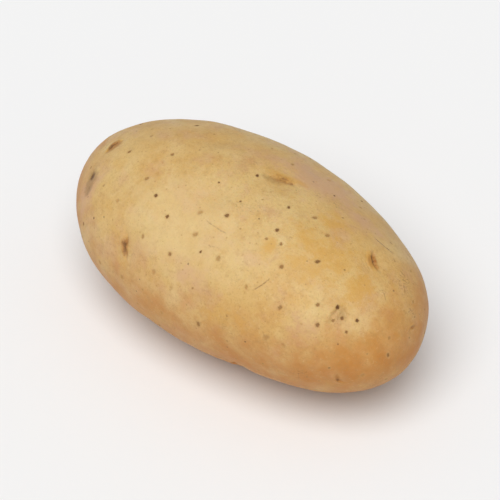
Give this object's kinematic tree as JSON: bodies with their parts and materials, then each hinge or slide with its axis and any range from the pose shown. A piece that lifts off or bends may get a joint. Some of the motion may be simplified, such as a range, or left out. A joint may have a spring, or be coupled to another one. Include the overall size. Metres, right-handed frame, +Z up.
{
  "type": "potato",
  "caption": "Whole raw long-oval table potato with shallow eyes, lying on a small flat spot.",
  "frame": {"origin": "bottom centre of the bounding box, on the surface that the tuber rests on", "axes": "+X along the tuber from the stem end to the rose end, +Z up; +Y completes the right-handed set across the tuber"},
  "size_m": [0.102, 0.058, 0.049],
  "materials": {
    "skin": "satin"
  },
  "bodies": {
    "root": {"potato": "skin"}
  },
  "joints": []
}
